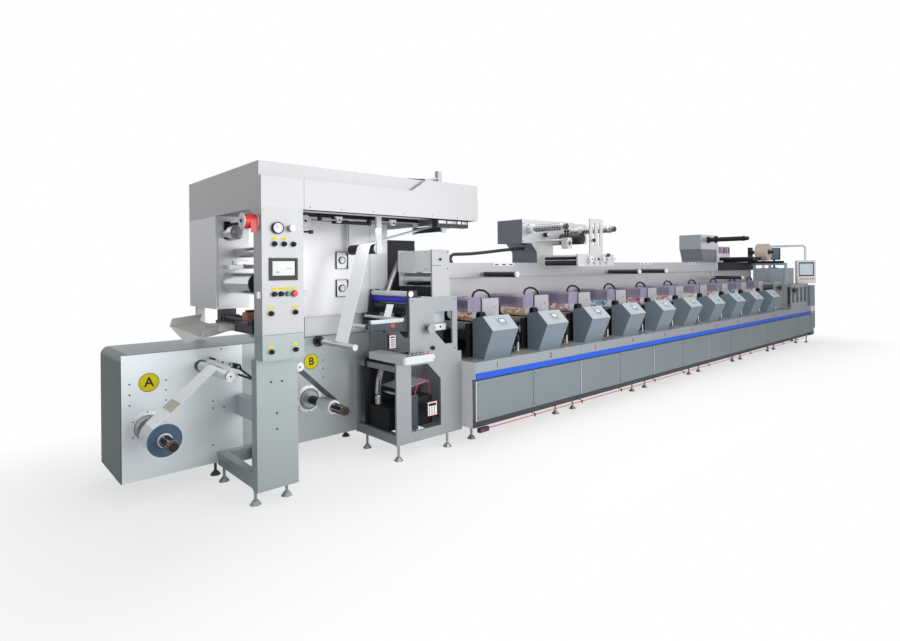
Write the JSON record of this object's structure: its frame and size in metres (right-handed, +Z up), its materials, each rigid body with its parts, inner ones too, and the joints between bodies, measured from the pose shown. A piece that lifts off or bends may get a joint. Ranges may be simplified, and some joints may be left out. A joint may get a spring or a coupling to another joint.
{
  "type": "flexographic label printing press",
  "caption": "Long in-line web press: twin reel unwinder and tower with canopy, print units with slanted consoles on a striped base, overhead rewinds and a swinging screen.",
  "frame": {"origin": "centre of the footprint, on the floor", "axes": "+X along the press from the unwinder to the delivery end, -Y the operator side, +Z up"},
  "size_m": [12.816, 1.5764, 2.533],
  "materials": {
    "brushed_steel": "satin",
    "silver_paint": "satin",
    "pale_paint": "satin",
    "grey_paint": "satin",
    "blue_stripe": "gloss",
    "black_metal": "satin",
    "roller": "polished",
    "web": "matte",
    "white_paint": "satin"
  },
  "bodies": {
    "frame": {"base_module_1": "silver_paint", "base_module_2": "silver_paint", "base_module_3": "silver_paint", "base_module_4": "silver_paint", "base_module_5": "silver_paint", "base_module_6": "silver_paint", "blue_stripe": "blue_stripe", "canopy": "silver_paint", "canopy_rollers": "black_metal", "console_1": "grey_paint", "console_2": "grey_paint", "console_3": "grey_paint", "console_4": "grey_paint", "console_5": "grey_paint", "console_6": "grey_paint", "console_7": "grey_paint", "console_8": "grey_paint", "console_9": "grey_paint", "console_10": "grey_paint", "control_desk": "silver_paint", "die_section": "brushed_steel", "end_cabinet": "silver_paint", "guide_roller_a": "roller", "guide_roller_b": "roller", "infeed_frame": "silver_paint", "machine_wall": "pale_paint", "nip_rollers": "roller", "operator_panel": "silver_paint", "print_units_1": "black_metal", "print_units_2": "black_metal", "print_units_3": "black_metal", "print_units_4": "black_metal", "print_units_5": "black_metal", "rear_cabinet": "black_metal", "rewind_housing_1": "silver_paint", "rewind_housing_2": "silver_paint", "roller_bracket_1": "silver_paint", "roller_c": "black_metal", "screen_post": "white_paint", "splice_tray": "brushed_steel", "surface_treater": "brushed_steel", "top_rail": "brushed_steel", "tower_base": "silver_paint", "tower_cabinet_left": "silver_paint", "tower_cabinet_right": "pale_paint", "tower_column": "silver_paint", "tower_rollers": "roller", "unwind_casing": "grey_paint", "unwind_face": "brushed_steel", "waste_rewind": "silver_paint", "web_a": "web", "web_b": "web", "web_main": "web"},
    "unwind_spindle_a": {"unwind_spindle_a": "black_metal"},
    "unwind_spindle_b": {"unwind_spindle_b": "black_metal"},
    "rewind_spindle_1": {"rewind_spindle_1": "roller"},
    "rewind_spindle_2": {"rewind_spindle_2": "roller"},
    "rewind_spindle_3": {"rewind_spindle_3": "black_metal"},
    "operator_screen": {"operator_screen": "white_paint"}
  },
  "joints": [
    {"name": "unwind_a_turn", "type": "hinge", "parent": "frame", "child": "unwind_spindle_a", "pos_m": [-6.236, 0.11825, 0.515], "axis": [0, 1, 0], "continuous": true},
    {"name": "unwind_b_turn", "type": "hinge", "parent": "frame", "child": "unwind_spindle_b", "pos_m": [-4.958, 0.11825, 0.515], "axis": [0, 1, 0], "continuous": true},
    {"name": "rewind_1_turn", "type": "hinge", "parent": "frame", "child": "rewind_spindle_1", "pos_m": [-2.02, 0.08825, 2.11], "axis": [0, 1, 0], "continuous": true},
    {"name": "rewind_2_turn", "type": "hinge", "parent": "frame", "child": "rewind_spindle_2", "pos_m": [-1.113, 0.08825, 2.11], "axis": [0, 1, 0], "continuous": true},
    {"name": "rewind_3_turn", "type": "hinge", "parent": "frame", "child": "rewind_spindle_3", "pos_m": [3.047, 0.08825, 2.11], "axis": [0, 1, 0], "continuous": true},
    {"name": "screen_swing", "type": "hinge", "parent": "frame", "child": "operator_screen", "pos_m": [6.042, 0.17824, 1.985], "axis": [0, 0, 1], "range_deg": [-25, 60]}
  ]
}
